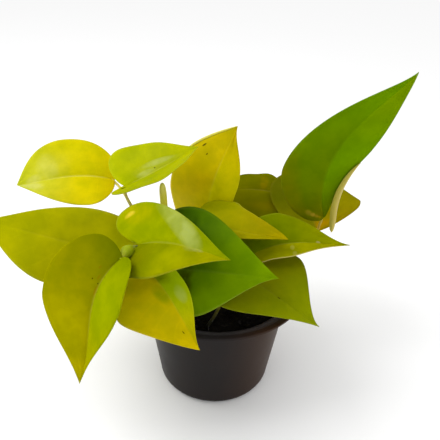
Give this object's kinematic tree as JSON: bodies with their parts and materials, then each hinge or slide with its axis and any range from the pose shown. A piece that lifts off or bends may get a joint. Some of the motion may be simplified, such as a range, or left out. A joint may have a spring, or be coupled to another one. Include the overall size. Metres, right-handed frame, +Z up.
{
  "type": "potted plant",
  "caption": "Houseplant with large heart-shaped leaves on slender petioles, growing from the soil of a round tapered plastic nursery pot.",
  "frame": {"origin": "centre of the pot's underside", "axes": "+Z up, +X to the right and +Y away from the viewer, as the picture sees the plant"},
  "size_m": [0.2201, 0.1595, 0.192],
  "materials": {
    "pot": "satin black-brown moulded plastic",
    "soil": "damp potting soil",
    "stem": "smooth green plant stem",
    "leaf_yellow": "waxy yellow leaf",
    "leaf_lime": "waxy lime leaf",
    "leaf_green": "waxy green leaf"
  },
  "bodies": {
    "root": {"pot": "pot", "soil": "soil", "vine_left_front": "stem", "vine_left_back": "stem", "vine_middle": "stem", "stem_centre": "stem", "vine_right": "stem", "stem_right": "stem", "stem_lower_right": "stem", "leaf_rolled": "leaf_yellow", "leaf_upper_left": "leaf_yellow", "leaf_upper_middle": "leaf_lime", "leaf_back_centre": "leaf_yellow", "leaf_far_left": "leaf_lime", "leaf_front_left": "leaf_lime", "leaf_left_centre": "leaf_lime", "leaf_front_centre": "leaf_yellow", "leaf_centre": "leaf_green", "leaf_middle_right": "leaf_yellow", "leaf_back_right": "leaf_green", "leaf_top_right": "leaf_green", "leaf_behind_right": "leaf_lime", "leaf_right": "leaf_green", "leaf_lower_right": "leaf_green"}
  },
  "joints": []
}
